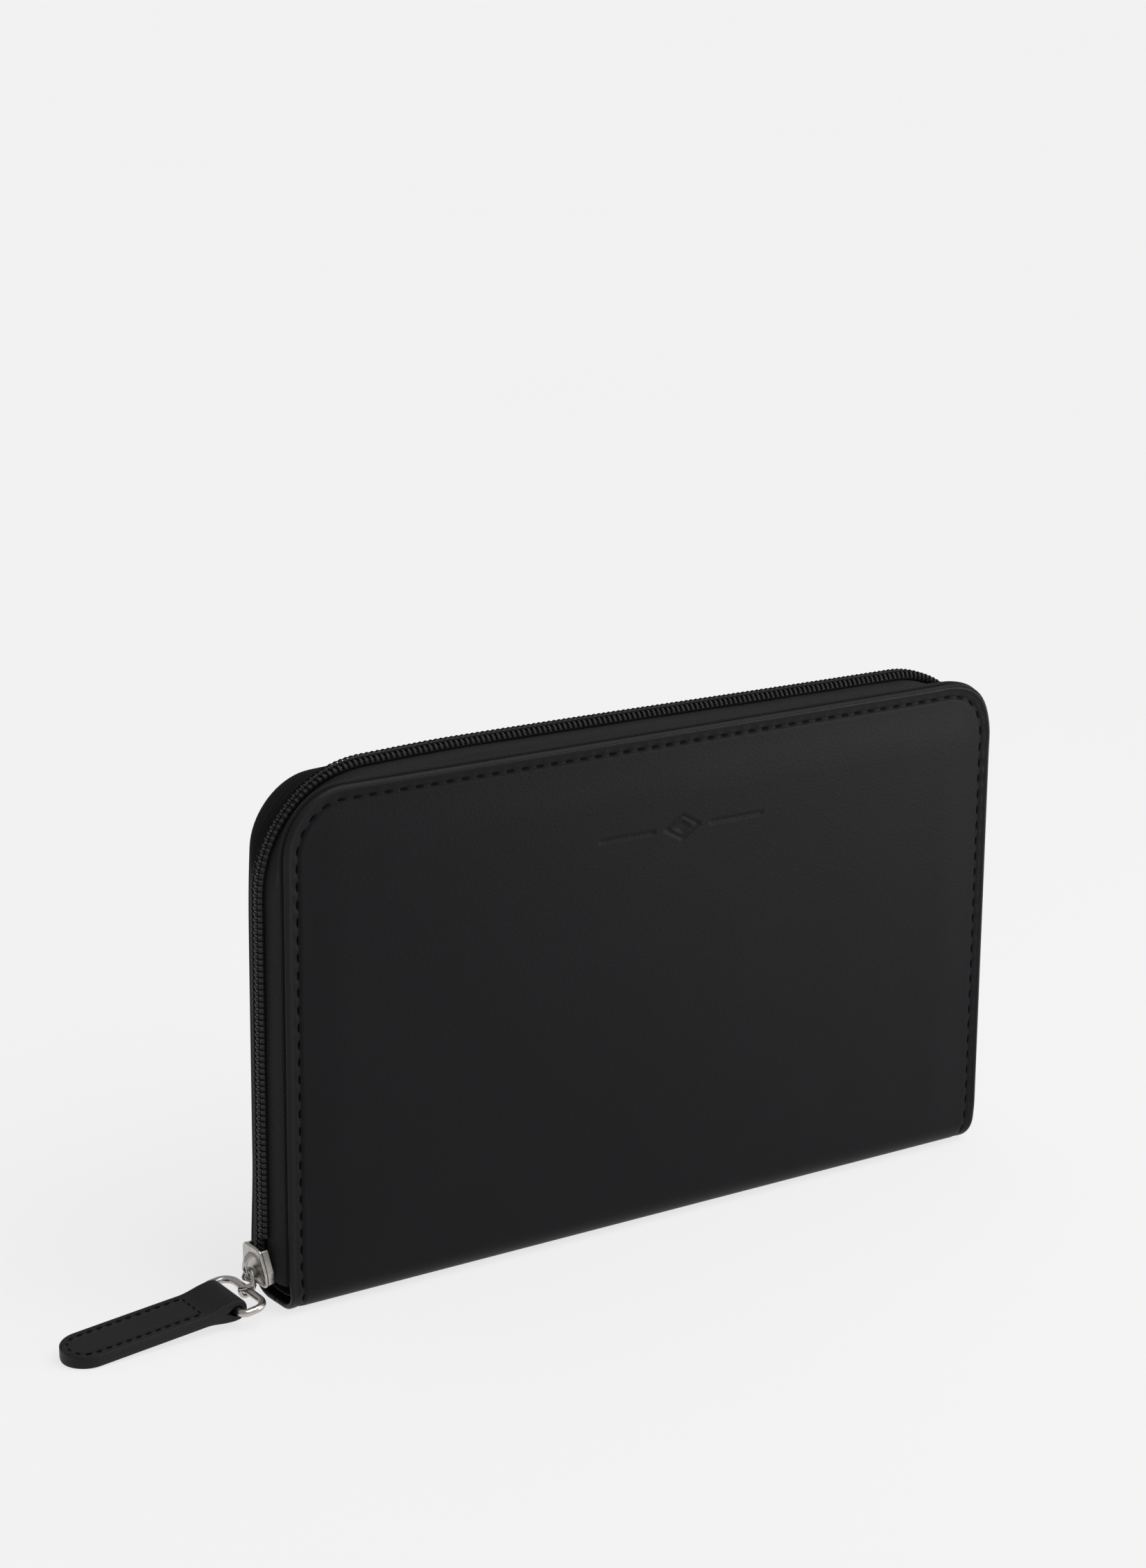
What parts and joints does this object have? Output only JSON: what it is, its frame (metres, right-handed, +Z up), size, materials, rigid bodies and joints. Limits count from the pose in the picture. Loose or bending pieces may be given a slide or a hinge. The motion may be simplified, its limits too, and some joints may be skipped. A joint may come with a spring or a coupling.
{
  "type": "travel document organizer",
  "caption": "Zip-around leather travel wallet standing on its folded spine, with pockets and card slots inside and a leather pull tab on a wire ring.",
  "frame": {"origin": "middle of the flat strip under the folded spine, on the surface that the wallet stands on", "axes": "+X along the spine away from the zip slider, +Y from the front cover to the back cover, +Z up the covers"},
  "size_m": [0.277, 0.0211, 0.1333],
  "materials": {
    "leather": "smooth matt black leather with a fine grain",
    "lining": "black woven lining",
    "stiffener": "grey fibre board",
    "foam": "grey foam sheet",
    "zip_tape": "black ribbed woven tape",
    "zip_coil": "black moulded nylon coil",
    "metal": "polished nickel plate, lightly worn",
    "thread": "black twisted sewing thread"
  },
  "bodies": {
    "spine": {"spine_leather": "leather", "spine_reinforcement": "stiffener", "spine_lining": "lining"},
    "front_half": {"front_cover_leather": "leather", "front_foam_padding": "foam", "front_stiffener_board": "stiffener", "front_lining": "lining", "boarding_pass_pocket": "leather", "passport_pocket": "leather", "front_zip_tape": "zip_tape", "front_zip_coil": "zip_coil", "front_zip_end_stop": "zip_coil", "front_edge_seam": "thread"},
    "back_half": {"back_cover_leather": "leather", "back_foam_padding": "foam", "back_stiffener_board": "stiffener", "back_lining": "lining", "slip_pocket": "leather", "card_slot_left_1": "leather", "card_slot_left_2": "leather", "card_slot_left_3": "leather", "card_slot_right_1": "leather", "card_slot_right_2": "leather", "card_slot_right_3": "leather", "back_zip_tape": "zip_tape", "back_zip_coil": "zip_coil", "back_zip_end_stop": "zip_coil", "back_edge_seam": "thread"},
    "slider": {"zip_slider": "metal"},
    "link": {"puller_link": "metal"},
    "ring": {"pull_ring": "metal"},
    "pull_tab": {"pull_tab_leather": "leather", "pull_tab_seam": "thread"}
  },
  "joints": [
    {"name": "front_cover_fold", "type": "hinge", "parent": "spine", "child": "front_half", "pos_m": [0, -0.00835, 0.0014], "axis": [1, 0, 0], "range_deg": [0, 90]},
    {"name": "back_cover_fold", "type": "hinge", "parent": "spine", "child": "back_half", "pos_m": [0, 0.00835, 0.0014], "axis": [-1, 0, 0], "range_deg": [0, 90]},
    {"name": "zip_slide", "type": "slide", "parent": "back_half", "child": "slider", "axis": [0, 0, 1], "range_m": [0, 0.086]},
    {"name": "link_swing", "type": "hinge", "parent": "slider", "child": "link", "pos_m": [-0.11382, 0, 0.01062], "axis": [0, 1, 0], "range_deg": [0, 75]},
    {"name": "ring_swing", "type": "hinge", "parent": "link", "child": "ring", "pos_m": [-0.11512, -0.0012, 0.00582], "axis": [0.0556, -0.9948, -0.0854], "range_deg": [-45, 80]},
    {"name": "tab_swing", "type": "hinge", "parent": "ring", "child": "pull_tab", "pos_m": [-0.12197, -0.00152, 0.00507], "axis": [0.0556, -0.9948, -0.0854], "range_deg": [-45, 60]}
  ]
}
